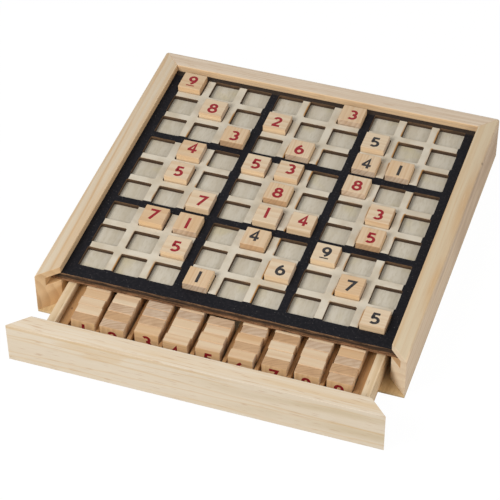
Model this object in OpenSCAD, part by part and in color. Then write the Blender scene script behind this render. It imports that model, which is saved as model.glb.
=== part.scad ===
// Wooden sudoku board. A mitred frame of grooved moulding holds a grid of square cells over a
// cell floor. The front side of the frame is the front of a drawer that keeps the spare tiles.
// Millimetres. The origin is the centre of the frame's underside, +Y is the back and +Z is up.

/* [Tiles] */
// Width and height of a square number tile
tile_w = 19.5; // [17:0.1:22]
// Thickness of a tile
tile_t = 8.5; // [6:0.1:11]
// Width of the eased edges of a tile
tile_ease = 0.5; // [0.2:0.1:1.2]

/* [Grid] */
// Room for a tile in its cell, both sides together
cell_play = 1.7; // [0.8:0.1:3]
// Width of the bars between the cells of one block
bar_w = 6.4; // [4:0.1:9]
// Width of the bars between two blocks
block_bar_w = 6.7; // [4:0.1:12]
// Width of the border that shows beside the outer cells
border_w = 8.7; // [4:0.1:16]
// Thickness of the grid sheet
grid_t = 3.6; // [2:0.1:6]
// Thickness of the cell floor under the grid sheet
floor_t = 3.8; // [2:0.1:6]

/* [Frame] */
// Width of the moulding seen from above
rail_w = 15; // [12:0.5:22]
// Thickness of the moulding's lip over the border
lip_t = 6.2; // [3.5:0.1:10]
// Depth of the groove in the moulding
groove_d = 9; // [5:0.5:11]
// Radius along the outer top edge of the moulding
top_edge_r = 1.6; // [0.4:0.1:3]
// Radius of the two back corners seen from above
corner_r = 2; // [0.5:0.1:5]
// Thickness of the panel under the frame
base_t = 2; // [1:0.1:5]

/* [Drawer] */
// How far the drawer stands open
drawer_pull = 55; // [0:1:90]
// Thickness of the drawer's side and back walls
wall_t = 7; // [3:0.5:8]
// Thickness of the drawer's bottom
bottom_t = 1.5; // [1:0.1:4]
// How far the drawer's walls end below the tops of the stored tiles
wall_drop = 1.5; // [0.5:0.1:8]
// Thickness of the strips between the channels
divider_t = 3; // [1.5:0.1:4.5]
// Height of the strips between the channels
divider_h = 12; // [6:0.1:17]
// Room for a stack in its channel, both sides together
channel_play = 2.5; // [0.8:0.1:4]
// Room for a finger between the drawer's front and the stacks
finger_gap = 20; // [12:0.5:30]
// Number of tiles that fill a channel
channel_tiles = 9; // [9:1:12]
// Room left behind a full channel
back_play = 6; // [4:0.1:12]

/* [Clearances] */
// Room between the drawer's box and the frame, on each side
drawer_play = 4.6; // [0.5:0.1:8]
// Room between the stored tiles and the cell floor
headroom = 1; // [0.3:0.1:4]
// Room between the sheets and the bottom of the groove
sheet_play = 0.3; // [0.1:0.1:1]
// Room over the grid sheet in the groove
groove_play = 0.1; // [0.05:0.05:0.5]
// Room between the sheets and the front of the closed drawer
front_play = 0.5; // [0.2:0.1:2]
// Room between two tiles of a stack
stack_gap = 0.15; // [0.05:0.05:0.4]

/* [Hidden] */
// Cells along one side of the grid, and along one side of a block
cells = 9;
block_cells = 3;
middle_cell = (cells + 1) / 2;
// Straight steps in a rounded outline
arc_steps = 6;
// Direction of a mitre's line from the outer face's own direction
mitre_angle = 135;
// How far a trimming shape runs past what it trims
overrun = 1;

// Numbers of the tiles on the board, row by row from the back, with a dot in each empty cell
board_rows = [
    "9....3...",
    ".8.2..5..",
    "..3.6.41.",
    ".4.53.8..",
    ".5..8..3.",
    "..7.14.5.",
    ".71.4.9..",
    "..5..6.7.",
    "...1....5"
];
// Where those tiles lie in their cells' side room: < to the left, | in the middle, > to the right
board_leans = [
    "<....>...",
    ".|.|..|..",
    "..>.>.>>.",
    ".>.||.>..",
    ".|..|..|.",
    "..>.|>.>.",
    ".<|.<.>..",
    "..|..>.>.",
    "...|....|"
];
// How far a tile to the left or right lies from the middle, as a share of the room on that side
lean_share = 0.6;
// Row from the back and column from the left of each tile that lies on the board
board_cells = [
    for (row = [1 : cells])
        for (column = [1 : cells])
            if (board_rows[row - 1][column - 1] != ".") [row, column]
];
// Tiles stored in each channel, from the left
stack_counts = [5, 8, 5, 5, 4, 7, 6, 6, 7];
// Where each stack stands in its channel's side room, from -1 at the left to 1 at the right
stack_side_shares = [0.5, -0.5, 0, -0.3, -0.5, 0.55, 0.7, 0.7, 0.4];
// How far each stack is set back, as a share of the room behind a full channel
stack_back_shares = [0, 0, 0.5, 0, 0.2, 0, 0, 0, 0];

// Sizes across the grid and the frame
cell_w = tile_w + cell_play;
cell_pitch = cell_w + bar_w;
block_extra = block_bar_w - bar_w;
grid_w = cells * cell_w + (cells - block_cells) * bar_w + (block_cells - 1) * block_bar_w;
inner_w = grid_w + 2 * border_w;
outer_w = inner_w + 2 * rail_w;

// The two sheets reach into the grooves at the left, the right and the back
sheet_w = inner_w + 2 * (groove_d - sheet_play);
sheet_front = front_play - inner_w / 2;
sheet_back = inner_w / 2 + groove_d - sheet_play;
sheet_d = sheet_back - sheet_front;
sheet_mid = (sheet_back + sheet_front) / 2;

// Heights of the moulding and of what it holds
ledge_h = bottom_t + tile_w + headroom;
groove_h = floor_t + grid_t + groove_play;
rail_h = ledge_h + groove_h + lip_t;
floor_z = base_t + ledge_h;
grid_z = floor_z + floor_t;

// Sizes of the drawer's box, whose inside starts at the back face of its front
drawer_w = inner_w - 2 * drawer_play;
drawer_inner_w = drawer_w - 2 * wall_t;
drawer_y = -inner_w / 2 - drawer_pull;
drawer_z = base_t + bottom_t;
stack_pitch = tile_t + stack_gap;
channel_l = finger_gap + channel_tiles * stack_pitch + back_play;
wall_h = tile_w - wall_drop;
channel_w = tile_w + channel_play;
channel_pitch = channel_w + divider_t;
channels_w = cells * channel_pitch - divider_t;
filler_w = (drawer_inner_w - channels_w) / 2;

pine = [0.85, 0.77, 0.64];
birch = [0.80, 0.74, 0.64];
charcoal = [0.14, 0.13, 0.14];
drawer_wood = [0.78, 0.62, 0.43];
tile_wood = [0.87, 0.74, 0.58];

function tile_name(cell) = str("tile_r", cell[0], "c", cell[1]);

function stack_name(column) = str("stack_", column);

function lean(mark) = mark == "<" ? -lean_share : mark == ">" ? lean_share : 0;

// Centre of the cell with this number, from the middle of the grid
function cell_at(number) =
    (number - middle_cell) * cell_pitch
    + (ceil(number / block_cells) - ceil(middle_cell / block_cells)) * block_extra;

// Start and end of the bar after a cell, where bar 0 and the last bar run out to the sheet's edge
function bar_start(number, edge) = number == 0 ? -edge : cell_at(number) + cell_w / 2;

function bar_end(number, edge) = number == cells ? edge : cell_at(number + 1) - cell_w / 2;

// Section of the moulding: x from its outer face inwards, y upwards from its underside
function moulding_section() = concat(
    [
        [0, 0],
        [rail_w, 0],
        [rail_w, ledge_h],
        [rail_w - groove_d, ledge_h],
        [rail_w - groove_d, ledge_h + groove_h],
        [rail_w, ledge_h + groove_h],
        [rail_w, rail_h]
    ],
    [
        for (step = [0 : arc_steps])
            let (angle = 90 + 90 * step / arc_steps)
            [top_edge_r * (1 + cos(angle)), rail_h - top_edge_r * (1 - sin(angle))]
    ]
);

// Outer corner of the frame, with its radius if it has one, from an angle to the outer face at x = 0
function outer_corner(radius, first_angle) = radius == 0
    ? [[0, outer_w / 2]]
    : [
        for (step = [0 : arc_steps])
            let (angle = first_angle + (180 - first_angle) * step / arc_steps)
            [radius * (1 + cos(angle)), outer_w / 2 - radius * (1 - sin(angle))]
    ];

function flipped(points) = [
    for (index = [len(points) - 1 : -1 : 0])
        [points[index][0], -points[index][1]]
];

// One side of the frame along Y, with its outer face at x = 0 and mitred at both ends
module moulding(near_radius, far_radius) {
    near_tip = flipped(outer_corner(near_radius, mitre_angle));
    far_tip = outer_corner(far_radius, mitre_angle);
    inner_corners = [[rail_w, -inner_w / 2], [rail_w, inner_w / 2]];
    intersection() {
        translate([0, outer_w / 2 + overrun, 0])
            rotate([90, 0, 0])
                linear_extrude(height = outer_w + 2 * overrun)
                    polygon(moulding_section());
        translate([0, 0, -overrun])
            linear_extrude(height = rail_h + 2 * overrun)
                polygon(concat(inner_corners, far_tip, near_tip));
    }
}

module left_rail() {
    color(pine)
        translate([-outer_w / 2, 0, base_t])
            moulding(0, corner_r);
}

module right_rail() {
    mirror([1, 0, 0])
        left_rail();
}

module back_rail() {
    color(pine)
        translate([0, outer_w / 2, base_t])
            rotate([0, 0, -90])
                moulding(corner_r, corner_r);
}

module base_panel() {
    front_corners = [[outer_w, -outer_w / 2], [outer_w, outer_w / 2]];
    far_corner = outer_corner(corner_r, 90);
    color(birch)
        translate([0, outer_w / 2, 0])
            rotate([0, 0, -90])
                linear_extrude(height = base_t)
                    polygon(concat(front_corners, far_corner, flipped(far_corner)));
}

module cell_floor() {
    color(birch)
        translate([-sheet_w / 2, sheet_front, floor_z])
            cube([sheet_w, sheet_d, floor_t]);
}

module grid_bars_across() {
    edge = sheet_d / 2;
    color(charcoal)
        for (number = [0 : cells])
            translate([-sheet_w / 2, sheet_mid + bar_start(number, edge), grid_z])
                cube([sheet_w, bar_end(number, edge) - bar_start(number, edge), grid_t]);
}

module grid_bars_down() {
    edge = sheet_w / 2;
    color(charcoal)
        for (row = [1 : cells])
            for (number = [0 : cells])
                translate([bar_start(number, edge), sheet_mid + cell_at(row) - cell_w / 2, grid_z])
                    cube([bar_end(number, edge) - bar_start(number, edge), cell_w, grid_t]);
}

module drawer_front() {
    color(pine)
        translate([0, drawer_y - rail_w, base_t])
            rotate([0, 0, 90])
                moulding(0, 0);
}

module drawer_left_wall() {
    color(drawer_wood)
        translate([-drawer_w / 2, drawer_y, drawer_z])
            cube([wall_t, channel_l + wall_t, wall_h]);
}

module drawer_right_wall() {
    mirror([1, 0, 0])
        drawer_left_wall();
}

module drawer_back_wall() {
    color(drawer_wood)
        translate([-drawer_inner_w / 2, drawer_y + channel_l, drawer_z])
            cube([drawer_inner_w, wall_t, wall_h]);
}

module drawer_bottom() {
    color(drawer_wood)
        translate([-drawer_w / 2, drawer_y, base_t])
            cube([drawer_w, channel_l + wall_t, bottom_t]);
}

module drawer_left_filler() {
    color(drawer_wood)
        translate([-drawer_inner_w / 2, drawer_y, drawer_z])
            cube([filler_w, channel_l, divider_h]);
}

module drawer_right_filler() {
    mirror([1, 0, 0])
        drawer_left_filler();
}

module drawer_dividers() {
    color(drawer_wood)
        for (number = [1 : cells - 1])
            translate([number * channel_pitch - divider_t - channels_w / 2, drawer_y, drawer_z])
                cube([divider_t, channel_l, divider_h]);
}

// A rectangle about the origin with its corners cut off
module eased_rectangle(width, height) {
    half = [width / 2, height / 2];
    polygon([
        [tile_ease - half[0], -half[1]],
        [half[0] - tile_ease, -half[1]],
        [half[0], tile_ease - half[1]],
        [half[0], half[1] - tile_ease],
        [half[0] - tile_ease, half[1]],
        [tile_ease - half[0], half[1]],
        [-half[0], half[1] - tile_ease],
        [-half[0], tile_ease - half[1]]
    ]);
}

// A tile with all its edges eased, lying on its back with the numbered face up
module tile() {
    reach = tile_w + 2 * overrun;
    color(tile_wood)
        translate([0, 0, tile_t / 2])
            intersection() {
                linear_extrude(height = reach, center = true)
                    eased_rectangle(tile_w, tile_w);
                rotate([90, 0, 0])
                    linear_extrude(height = reach, center = true)
                        eased_rectangle(tile_w, tile_t);
                rotate([90, 0, 90])
                    linear_extrude(height = reach, center = true)
                        eased_rectangle(tile_w, tile_t);
            }
}

module board_tile(cell) {
    side_shift = lean(board_leans[cell[0] - 1][cell[1] - 1]) * cell_play / 2;
    translate([cell_at(cell[1]) + side_shift, sheet_mid - cell_at(cell[0]), grid_z])
        tile();
}

// Tiles on edge in one channel of the drawer, numbered faces to the front
module stack(column) {
    side_shift = stack_side_shares[column - 1] * channel_play / 2;
    back_shift = stack_back_shares[column - 1] * back_play;
    stack_x = (column - middle_cell) * channel_pitch + side_shift;
    stack_y = drawer_y + finger_gap + back_shift;
    for (number = [1 : stack_counts[column - 1]])
        translate([stack_x, stack_y + number * stack_pitch - stack_gap, drawer_z + tile_w / 2])
            rotate([90, 0, 0])
                tile();
}

left_rail();
right_rail();
back_rail();
base_panel();
cell_floor();
grid_bars_across();
grid_bars_down();
drawer_front();
drawer_left_wall();
drawer_right_wall();
drawer_back_wall();
drawer_bottom();
drawer_left_filler();
drawer_right_filler();
drawer_dividers();
for (cell = board_cells)
    board_tile(cell);
for (column = [1 : cells])
    stack(column);
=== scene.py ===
"""Looks of a wooden sudoku board: pine frame, printed grid, numbered tiles and a tile drawer."""
import logging
import math
from dataclasses import dataclass, field, replace
from enum import Enum
from typing import Any

import bpy
import numpy as np
from mathutils import Matrix, Vector


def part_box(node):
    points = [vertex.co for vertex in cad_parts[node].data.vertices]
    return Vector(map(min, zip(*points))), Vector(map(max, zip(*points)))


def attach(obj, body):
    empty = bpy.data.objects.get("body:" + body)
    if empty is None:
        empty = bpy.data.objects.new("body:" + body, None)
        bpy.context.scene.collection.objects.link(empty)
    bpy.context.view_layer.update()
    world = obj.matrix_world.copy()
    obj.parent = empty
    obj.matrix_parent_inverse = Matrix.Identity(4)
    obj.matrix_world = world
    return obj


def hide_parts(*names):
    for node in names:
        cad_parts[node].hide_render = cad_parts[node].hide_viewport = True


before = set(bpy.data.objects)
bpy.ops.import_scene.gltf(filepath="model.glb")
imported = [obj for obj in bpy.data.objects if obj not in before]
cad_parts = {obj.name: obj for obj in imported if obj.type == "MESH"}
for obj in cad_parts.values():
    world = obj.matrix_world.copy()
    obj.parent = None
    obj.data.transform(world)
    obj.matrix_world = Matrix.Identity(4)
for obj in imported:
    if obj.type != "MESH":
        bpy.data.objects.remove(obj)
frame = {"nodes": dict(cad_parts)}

LOG = logging.getLogger("sudoku_board")
MM = 0.001
DIGITS = range(1, 10)
WHITE = (1.0, 1.0, 1.0, 1.0)
Array = np.ndarray
Colour = tuple[float, float, float, float]
Pair = tuple[float, float]
Triple = tuple[float, float, float]
Socket = bpy.types.NodeSocket


def paint(red: float, green: float, blue: float) -> Colour:
    """Turns a colour as a screen shows it, 0 to 255, into the linear values of a shader.

    The numbers are those of the sRGB curve.

    Args:
        red: Red as shown.
        green: Green as shown.
        blue: Blue as shown.

    Returns:
        Linear red, green and blue, and an alpha of 1.
    """
    shown = np.array([red, green, blue]) / 255.0
    linear = np.where(shown <= 0.04045, shown / 12.92, ((shown + 0.055) / 1.055) ** 2.4)
    return (*linear.tolist(), 1.0)


class Side(Enum):
    """The four sides of the frame, by the direction from the middle to that side."""

    LEFT = (-1, 0)
    RIGHT = (1, 0)
    BACK = (0, 1)
    FRONT = (0, -1)


# Where in the tree each length of moulding was cut, in metres along the grain
FRAME_SEEDS = {Side.LEFT: 0.4, Side.RIGHT: 1.9, Side.BACK: 4.3, Side.FRONT: 7.7}


class Ink(Enum):
    """Colours that the numbers are printed in."""

    RED = "number_ink_red"
    BLACK = "number_ink_black"


class Cut(Enum):
    """How a tile was cut: its tone, and whether its grain runs across or up the number."""

    PALE = "p"
    TAN = "t"
    AMBER = "a"
    UPRIGHT = "u"
    UPRIGHT_DARK = "d"

    @property
    def upright(self) -> bool:
        """Whether the grain runs up the number."""
        return self in (Cut.UPRIGHT, Cut.UPRIGHT_DARK)


# How amber each cut is, from 0 for pale to 1 for amber
CUT_TONES = {Cut.PALE: 0.06, Cut.TAN: 0.36, Cut.AMBER: 0.5, Cut.UPRIGHT: 0.3, Cut.UPRIGHT_DARK: 0.5}


class Facing(Enum):
    """Which way a tile's number faces, by the axis that is square to its face."""

    UP = 2
    FRONT = 1


# Meshes as arrays


@dataclass
class Surface:
    """A mesh held as arrays until it becomes an object.

    points is (n, 3), quads is (m, 4), and the other fields hold one row for each point or quad.
    grain is each point's place in the wood: along, across and up, in metres. lot is the piece's own
    tone, greyness and seed. trim holds masks from 0 to 1: eased edge, end grain, and a face of its own
    colour, such as a scorched rim, the inside of a groove or a tile's narrow side, where the brighter
    colour is painted warm light.
    """

    points: Array
    quads: Array
    grain: Array
    trim: Array
    smooth: Array
    slots: Array
    caps: list[list[int]] = field(default_factory=list)
    lot: Triple = (0.5, 0.0, 0.0)

    def lots(self) -> Array:
        """The piece's own lot, once for each point."""
        return np.tile(np.array(self.lot, float), (len(self.points), 1))


def quad_grid(rows: int, columns: int, loop: bool = False) -> Array:
    """Numbers the quads of a grid of points.

    Point (r, c) has index r * columns + c, and a quad joins it to its next row and next column.

    Args:
        rows: Points along the first parameter.
        columns: Points along the second parameter.
        loop: Whether the last column joins the first.

    Returns:
        The quads' point indices, (m, 4).
    """
    last = columns if loop else columns - 1
    row, column = np.meshgrid(np.arange(rows - 1), np.arange(last), indexing="ij")
    following = (column + 1) % columns
    corners = [row * columns + column, row * columns + following]
    corners += [(row + 1) * columns + following, (row + 1) * columns + column]
    return np.stack(corners, axis=-1).reshape(-1, 4)


def merged(points: Array, quads: Array) -> tuple[Array, Array, Array]:
    """Joins points that lie on the same spot to a ten-thousandth of a millimetre.

    Args:
        points: Points, (n, 3).
        quads: Quads of those points, (m, 4).

    Returns:
        The points that are left, the quads of these, and for each of them an old index.
    """
    keys = np.round(points / (MM * 1e-4)).astype(np.int64)
    _, first, inverse = np.unique(keys, axis=0, return_index=True, return_inverse=True)
    return points[first], inverse.reshape(-1)[quads], first


def outward(points: Array, quads: Array, caps: list[list[int]]) -> tuple[Array, list[list[int]]]:
    """Turns all faces round if the volume that they enclose comes out negative.

    The volume is a sixth of the sum of a . (b x c) over the triangles of all faces.

    Args:
        points: Points, (n, 3).
        quads: Quads, (m, 4).
        caps: Faces with more corners.

    Returns:
        The quads and the caps, facing outwards.
    """
    fans = [np.array([[cap[0], b, c] for b, c in zip(cap[1:-1], cap[2:])]) for cap in caps]
    triangles = np.concatenate([quads[:, [0, 1, 2]], quads[:, [0, 2, 3]], *fans])
    a, b, c = (points[triangles[:, i]] for i in range(3))
    if np.einsum("ij,ij->", a, np.cross(b, c)) >= 0:
        return quads, caps
    return quads[:, ::-1], [cap[::-1] for cap in caps]


def joined(surfaces: list[Surface]) -> tuple[Surface, Array]:
    """Puts several surfaces into one.

    Args:
        surfaces: The surfaces, in order.

    Returns:
        The joined surface, and the lots of all its points.
    """
    starts = np.cumsum([0] + [len(s.points) for s in surfaces[:-1]])
    whole = Surface(
        points=np.concatenate([s.points for s in surfaces]),
        quads=np.concatenate([s.quads + start for s, start in zip(surfaces, starts)]),
        grain=np.concatenate([s.grain for s in surfaces]),
        trim=np.concatenate([s.trim for s in surfaces]),
        smooth=np.concatenate([s.smooth for s in surfaces]),
        slots=np.concatenate([s.slots for s in surfaces]),
        caps=[[i + int(start) for i in cap] for s, start in zip(surfaces, starts) for cap in s.caps],
    )
    return whole, np.concatenate([s.lots() for s in surfaces])


def make_object(
    name: str, surfaces: list[Surface], materials: list[bpy.types.Material]
) -> bpy.types.Object:
    """Makes one object of surfaces that are already in place.

    Args:
        name: Name of the piece.
        surfaces: What it is made of.
        materials: Its materials, which the surfaces' slots count.

    Returns:
        The new object, at the origin.
    """
    whole, lots = joined(surfaces)
    mesh = bpy.data.meshes.new(name)
    mesh.from_pydata(whole.points, [], whole.quads.tolist() + whole.caps)
    extra = np.zeros(len(whole.caps))
    mesh.polygons.foreach_set("material_index", np.concatenate([whole.slots, extra]).astype(np.int32))
    mesh.polygons.foreach_set("use_smooth", np.concatenate([whole.smooth, extra]).astype(bool))
    for label, values in (("grain", whole.grain), ("lot", lots), ("trim", whole.trim)):
        attribute = mesh.attributes.new(label, "FLOAT_VECTOR", "POINT")
        attribute.data.foreach_set("vector", np.ascontiguousarray(values, np.float32).ravel())
    for material in materials:
        mesh.materials.append(material)
    mesh.update()
    piece = bpy.data.objects.new(name, mesh)
    bpy.context.scene.collection.objects.link(piece)
    return piece


def rounded_outline(corners: Array, radii: Array, steps: int) -> Array:
    """Rounds every corner of a closed outline with an arc.

    At a corner whose two sides open by an angle t, the arc's centre lies radius / sin(t / 2) along the
    bisector, and its points turn evenly from one side's foot to the other's.

    Args:
        corners: Corners of the outline in order, (n, 2).
        radii: Radius at each corner, over 0.
        steps: Straight steps in each arc.

    Returns:
        The points of the rounded outline, (n * (steps + 1), 2).
    """
    before = np.roll(corners, 1, axis=0) - corners
    after = np.roll(corners, -1, axis=0) - corners
    before /= np.linalg.norm(before, axis=1, keepdims=True)
    after /= np.linalg.norm(after, axis=1, keepdims=True)
    half = np.arccos(np.clip(np.sum(before * after, axis=1), -1, 1)) / 2
    bisector = (before + after) / np.linalg.norm(before + after, axis=1, keepdims=True)
    centre = corners + bisector * (radii / np.sin(half))[:, None]
    foot = (radii / np.tan(half))[:, None]
    first, last = corners + before * foot - centre, corners + after * foot - centre
    sweep = (np.pi - 2 * half)[:, None, None]
    share = np.linspace(0, 1, steps + 1)[None, :, None]
    turned = np.sin((1 - share) * sweep) * first[:, None] + np.sin(share * sweep) * last[:, None]
    return (centre[:, None] + turned / np.sin(sweep)).reshape(-1, 2)


def drawn_in(outline: Array, distance: float) -> Array:
    """Draws in a closed outline that runs anticlockwise.

    Each point moves along the normal of the line through its two neighbours.

    Args:
        outline: Points in order, (n, 2).
        distance: How far they move.

    Returns:
        The points of the smaller outline, (n, 2).
    """
    side = np.roll(outline, -1, axis=0) - np.roll(outline, 1, axis=0)
    side /= np.linalg.norm(side, axis=1, keepdims=True)
    return outline + np.stack([-side[:, 1], side[:, 0]], axis=1) * distance


def end_caps(ring: int, points: int) -> list[list[int]]:
    """Two faces that close the first and the last ring of a tube with so many points."""
    return [list(range(ring))[::-1], list(range(points - ring, points))]


def eased_block(low: Array, high: Array, ease: float, along: int = 0, steps: int = 2) -> Surface:
    """A block of wood whose edges and corners are rounded.

    A point q on the sharp block moves to c + ease * (q - c) / |q - c|, where c is the nearest point of
    the block shrunk by ease. The grid on each face is spaced so that the arcs get even steps. A point
    shows end grain where its normal leans towards the grain, from a cosine of 0.5 up to 0.9.

    Args:
        low: Lowest corner.
        high: Highest corner.
        ease: Radius of the edges.
        along: The axis that the grain runs along.
        steps: Steps in half of an edge's arc.

    Returns:
        The closed surface, in place.
    """
    low, high = np.asarray(low, float), np.asarray(high, float)
    middle, core = (low + high) / 2, (high - low) / 2 - ease
    reach = np.tan(np.linspace(0, np.pi / 4, steps + 1)) * ease
    points, quads, start = [], [], 0
    for axis in range(3):
        first, second = (axis + 1) % 3, (axis + 2) % 3
        lines = [np.concatenate([-core[i] - reach[::-1], core[i] + reach]) for i in (first, second)]
        a, b = np.meshgrid(*lines, indexing="ij")
        for sign in (-1, 1):
            face = np.zeros((a.size, 3))
            face[:, axis] = sign * (core[axis] + ease)
            face[:, first], face[:, second] = a.ravel(), b.ravel()
            numbers = quad_grid(len(lines[0]), len(lines[1]))
            points.append(face)
            quads.append((numbers if sign > 0 else numbers[:, ::-1]) + start)
            start += len(face)
    sharp, numbers, _ = merged(np.concatenate(points), np.concatenate(quads))
    nearest = np.clip(sharp, -core, core)
    normal = (sharp - nearest) / np.linalg.norm(sharp - nearest, axis=1, keepdims=True)
    local = nearest + ease * normal
    eased = (np.abs(normal) > 1e-6).sum(axis=1) > 1
    numbers, _ = outward(local, numbers, [])
    order = [along, (along + 1) % 3, (along + 2) % 3]
    end = np.clip((np.abs(normal[:, along]) - 0.5) * 2.5, 0, 1)
    return Surface(
        points=local + middle,
        quads=numbers,
        grain=local[:, order],
        trim=np.stack([eased.astype(float), end, np.zeros(len(local))], axis=1),
        smooth=eased[numbers].any(axis=1),
        slots=np.zeros(len(numbers)),
    )


# Shader building


class Bench:
    """Adds the nodes of one shader tree and links them."""

    def __init__(self, tree: bpy.types.NodeTree) -> None:
        """Works on a tree whose nodes are removed first."""
        self.tree = tree
        tree.nodes.clear()

    def add(self, kind: str, inputs: dict[Any, Any] | None = None, **settings: Any) -> bpy.types.Node:
        """Adds a node.

        Args:
            kind: Blender's type name.
            inputs: Socket name or index to a value or to the socket that feeds it.
            **settings: Properties of the node.

        Returns:
            The node.
        """
        node = self.tree.nodes.new(kind)
        for name, value in settings.items():
            setattr(node, name, value)
        for key, value in (inputs or {}).items():
            if isinstance(value, bpy.types.NodeSocket):
                self.tree.links.new(value, node.inputs[key])
            else:
                node.inputs[key].default_value = value
        return node

    def math(self, operation: str, *values: Any) -> Socket:
        """The result of a Math node on these values or sockets."""
        return self.add("ShaderNodeMath", dict(enumerate(values)), operation=operation).outputs[0]

    def vector(self, operation: str, *values: Any) -> Socket:
        """The vector that a Vector Math node gives."""
        sockets = dict(enumerate(values))
        return self.add("ShaderNodeVectorMath", sockets, operation=operation).outputs["Vector"]

    def length(self, vector: Socket) -> Socket:
        """A vector's length."""
        return self.add("ShaderNodeVectorMath", {0: vector}, operation="LENGTH").outputs["Value"]

    def mix(self, share: Any, first: Any, second: Any, way: str = "MIX") -> Socket:
        """The colour that goes from first to second as share goes from 0 to 1."""
        sockets = {0: share, 6: first, 7: second}
        return self.add("ShaderNodeMix", sockets, data_type="RGBA", blend_type=way).outputs[2]

    def tinted(self, colour: Any, tint: Any, mask: Any, share: float) -> Socket:
        """The colour with this share of a tint where the mask is 1."""
        return self.mix(self.math("MULTIPLY", mask, share), colour, tint)

    def step(self, value: Any, low: float, high: float, start: float = 0.0, end: float = 1.0) -> Socket:
        """A smooth step from start, where value is low, to end, where it is high."""
        sockets = {"Value": value, "From Min": low, "From Max": high, "To Min": start, "To Max": end}
        return self.add("ShaderNodeMapRange", sockets, interpolation_type="SMOOTHSTEP").outputs[0]

    def noise(self, place: Any, scale: Any, detail: float = 2.0, rough: float = 0.5) -> Socket:
        """Noise from 0 to 1 at a place."""
        sockets = {"Vector": place, "Scale": scale, "Detail": detail, "Roughness": rough}
        return self.add("ShaderNodeTexNoise", sockets).outputs[0]

    def streaks(self, place: Any, scales: Triple, detail: float = 2.0, rough: float = 0.5) -> Socket:
        """Noise from 0 to 1 with its own scale along each axis."""
        return self.noise(self.vector("MULTIPLY", place, scales), 1.0, detail, rough)

    def place(self) -> Socket:
        """Place on the piece, in Object coordinates."""
        return self.add("ShaderNodeTexCoord").outputs["Object"]

    def attribute(self, name: str) -> Socket:
        """A vector that the mesh holds for each point."""
        return self.add("ShaderNodeAttribute", attribute_name=name).outputs["Vector"]

    def parts(self, vector: Socket) -> tuple[Socket, Socket, Socket]:
        """The three numbers of a vector."""
        return tuple(self.add("ShaderNodeSeparateXYZ", {0: vector}).outputs)

    def group(self, tree: bpy.types.NodeTree, inputs: dict[str, Any]) -> dict[str, Socket]:
        """The outputs of a node group that is placed with its own values."""
        return dict(self.add("ShaderNodeGroup", inputs, node_tree=tree).outputs.items())


def start_group(name: str, inputs: dict[str, str]) -> tuple[Bench, dict[str, Socket]]:
    """Starts a shader node group.

    Args:
        name: Name of the group.
        inputs: Input names, with the kind of socket of each.

    Returns:
        A bench on the group's tree, and what it is given, by name.
    """
    tree = bpy.data.node_groups.new(name, "ShaderNodeTree")
    for label, kind in inputs.items():
        tree.interface.new_socket(label, in_out="INPUT", socket_type=kind)
    bench = Bench(tree)
    return bench, dict(bench.add("NodeGroupInput").outputs.items())


def end_group(bench: Bench, results: dict[str, Socket]) -> bpy.types.NodeTree:
    """Ends a shader node group.

    Args:
        bench: The bench on the group's tree.
        results: What the group puts out, by name, all numbers.

    Returns:
        The group.
    """
    for label in results:
        bench.tree.interface.new_socket(label, in_out="OUTPUT", socket_type="NodeSocketFloat")
    bench.add("NodeGroupOutput", results)
    return bench.tree


def grain_group() -> bpy.types.NodeTree:
    """Builds the wood: growth rings about a pith line, fine fibres, broad tones and short dark dashes.

    A ring's number is the distance from the pith line, plus a slow wander along the piece, over the
    ring's width. Each ring darkens towards its outer side and then ends. The dashes are resin ducts.

    Returns:
        The group, with outputs Rings, Fibre, Tone and Dashes from 0 to 1.
    """
    inputs = {"Grain": "NodeSocketVector", "Pith": "NodeSocketVector"}
    inputs |= {"Ring Width": "NodeSocketFloat", "Wander": "NodeSocketFloat"}
    bench, given = start_group("wood_grain", inputs)
    place = given["Grain"]
    slow = bench.streaks(place, (9.0, 45.0, 45.0))
    wander = bench.math("MULTIPLY", bench.math("SUBTRACT", slow, 0.5), given["Wander"])
    away = bench.vector("SUBTRACT", place, given["Pith"])
    distance = bench.length(bench.vector("MULTIPLY", away, (0.0, 1.0, 1.0)))
    phase = bench.math("DIVIDE", bench.math("ADD", distance, wander), given["Ring Width"])
    share = bench.math("FRACT", phase)
    late = bench.math("MULTIPLY", bench.step(share, 0.15, 0.8), bench.step(share, 0.86, 1.0, 1.0, 0.0))
    number = bench.math("FLOOR", phase)
    luck = bench.add("ShaderNodeTexWhiteNoise", {"W": number}, noise_dimensions="1D").outputs["Value"]
    rings = bench.math("MULTIPLY", late, bench.math("MULTIPLY_ADD", luck, 0.85, 0.15))
    fibre = bench.streaks(place, (60.0, 1500.0, 1500.0), 3.0, 0.6)
    tone = bench.streaks(place, (6.0, 110.0, 110.0))
    dashes = bench.step(bench.streaks(place, (75.0, 1100.0, 1100.0), 0.0), 0.66, 0.8)
    return end_group(bench, {"Rings": rings, "Fibre": fibre, "Tone": tone, "Dashes": dashes})


def speck_group() -> bpy.types.NodeTree:
    """Builds fine specks and faint cloudiness, for print, dust and open pores.

    Returns:
        The group, with outputs Specks and Cloud from 0 to 1.
    """
    inputs = {"Place": "NodeSocketVector"}
    inputs |= {"Specks per Metre": "NodeSocketFloat", "Share": "NodeSocketFloat"}
    bench, given = start_group("specks", inputs)
    fine = bench.noise(given["Place"], given["Specks per Metre"])
    edge = bench.math("SUBTRACT", 0.75, given["Share"])
    specks = bench.step(bench.math("SUBTRACT", fine, edge), 0.0, 0.08)
    cloud = bench.noise(given["Place"], 60.0, 3.0)
    return end_group(bench, {"Specks": specks, "Cloud": cloud})


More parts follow.
